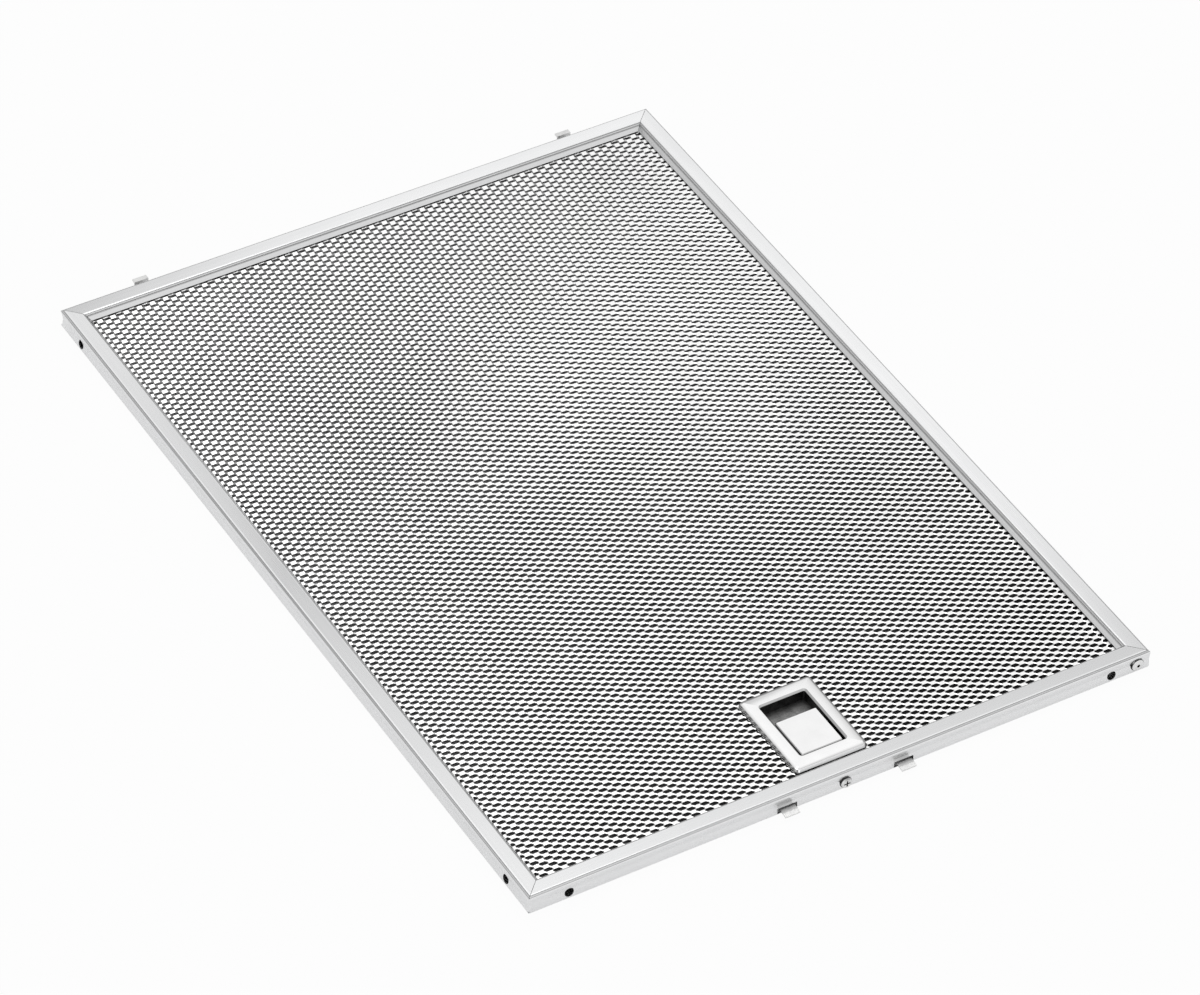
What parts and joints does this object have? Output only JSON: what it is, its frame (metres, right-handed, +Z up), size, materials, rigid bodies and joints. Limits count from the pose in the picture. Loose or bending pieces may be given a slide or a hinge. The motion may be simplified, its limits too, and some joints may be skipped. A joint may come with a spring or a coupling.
{
  "type": "cooker hood grease filter",
  "caption": "Flat rectangular grease filter: folded aluminium frame round layers of expanded mesh, with rear hooks and a sprung sliding latch in a finger recess.",
  "frame": {"origin": "middle of the footprint, hooks and latch tongues included, on the surface that the filter lies on", "axes": "+X along the short side, +Y from the latch to the hooks, +Z up out of the kitchen side"},
  "size_m": [0.277, 0.3893, 0.009],
  "materials": {
    "frame_aluminium": "satin, fine lengthwise rolling lines",
    "mesh_aluminium": "raw, bright strands",
    "rivet_aluminium": "bright drawn head",
    "handle_chrome": "mirror plating",
    "zinc_steel": "zinc plated, dull and mottled",
    "spring_steel": "bright drawn wire"
  },
  "bodies": {
    "filter": {"frame_strip": "frame_aluminium", "corner_rivet": "rivet_aluminium", "front_mesh": "mesh_aluminium", "inner_mesh_1": "mesh_aluminium", "inner_mesh_2": "mesh_aluminium", "inner_mesh_3": "mesh_aluminium", "back_mesh": "mesh_aluminium", "handle_bezel": "handle_chrome", "handle_back_plate": "zinc_steel", "back_plate_screws": "zinc_steel", "handle_screw": "zinc_steel", "latch_spring_left": "spring_steel", "latch_spring_right": "spring_steel", "rear_hook_left": "zinc_steel", "rear_hook_right": "zinc_steel"},
    "latch": {"latch_plate": "zinc_steel", "thumb_plate": "handle_chrome"}
  },
  "joints": [
    {"name": "latch_slide", "type": "slide", "parent": "filter", "child": "latch", "axis": [0, 1, 0], "range_m": [0, 0.0045], "stiffness_N_per_m": 400, "deforming": ["latch_spring_left", "latch_spring_right"]}
  ]
}
